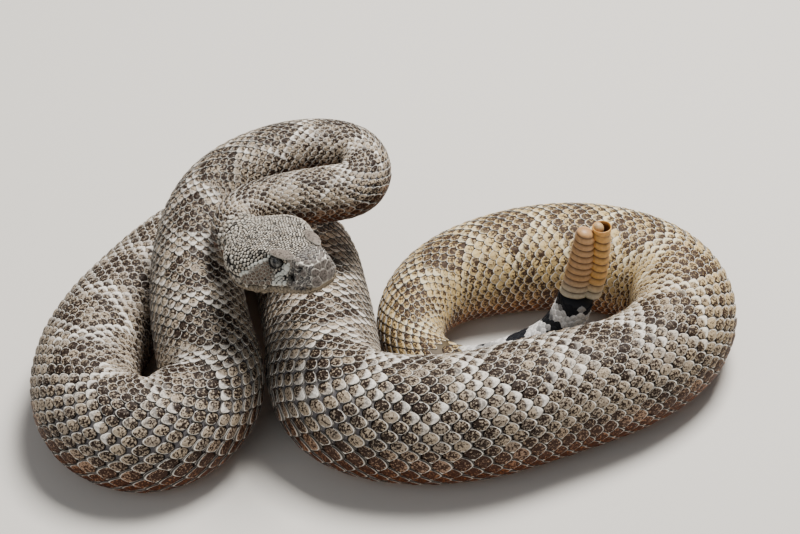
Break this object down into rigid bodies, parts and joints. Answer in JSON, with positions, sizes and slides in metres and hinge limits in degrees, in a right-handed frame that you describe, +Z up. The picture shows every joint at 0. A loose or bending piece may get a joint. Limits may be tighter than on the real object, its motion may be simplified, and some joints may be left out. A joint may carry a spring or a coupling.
{
  "type": "western diamondback rattlesnake model",
  "caption": "Life-size still model of a western diamondback rattlesnake coiled on the floor, neck drawn back in an S, head level and rattle raised.",
  "frame": {"origin": "on the floor, under the middle of the coiled body's box", "axes": "+X along the body's longest way across, towards the coil that holds the rattle; -Y towards the front coil and the viewer; +Z up"},
  "size_m": [0.3075, 0.1749, 0.0991],
  "materials": {
    "skin_front": "dry keeled scales, matt with a faint satin sheen, grey-brown with darker diamonds and white cross bands",
    "skin_rear": "dry keeled scales, matt with a faint satin sheen, yellowish tan with faded diamonds",
    "tail_bands": "dry scales in black and ash-white rings",
    "head_skin": "fine granular scales, matt, light grey-tan with dark specks",
    "eye": "clear wet spectacle over a dark iris with an upright slit pupil",
    "horn": "dry amber keratin, satin, with dark seams between the segments"
  },
  "bodies": {
    "root": {"head": "head_skin", "lower_jaw": "head_skin", "eye_left": "eye", "eye_right": "eye", "neck_1": "skin_front", "neck_2": "skin_front", "neck_3": "skin_front", "neck_4": "skin_front", "neck_5": "skin_front", "torso_01": "skin_front", "torso_02": "skin_front", "torso_03": "skin_front", "torso_04": "skin_front", "torso_05": "skin_front", "torso_06": "skin_front", "torso_07": "skin_front", "torso_08": "skin_front", "torso_09": "skin_front", "torso_10": "skin_front", "torso_11": "skin_front", "torso_12": "skin_rear", "torso_13": "skin_rear", "torso_14": "skin_rear", "torso_15": "skin_rear", "torso_16": "skin_rear", "torso_17": "skin_rear", "tail_1": "tail_bands", "tail_2": "tail_bands", "rattle": "horn"}
  },
  "joints": []
}
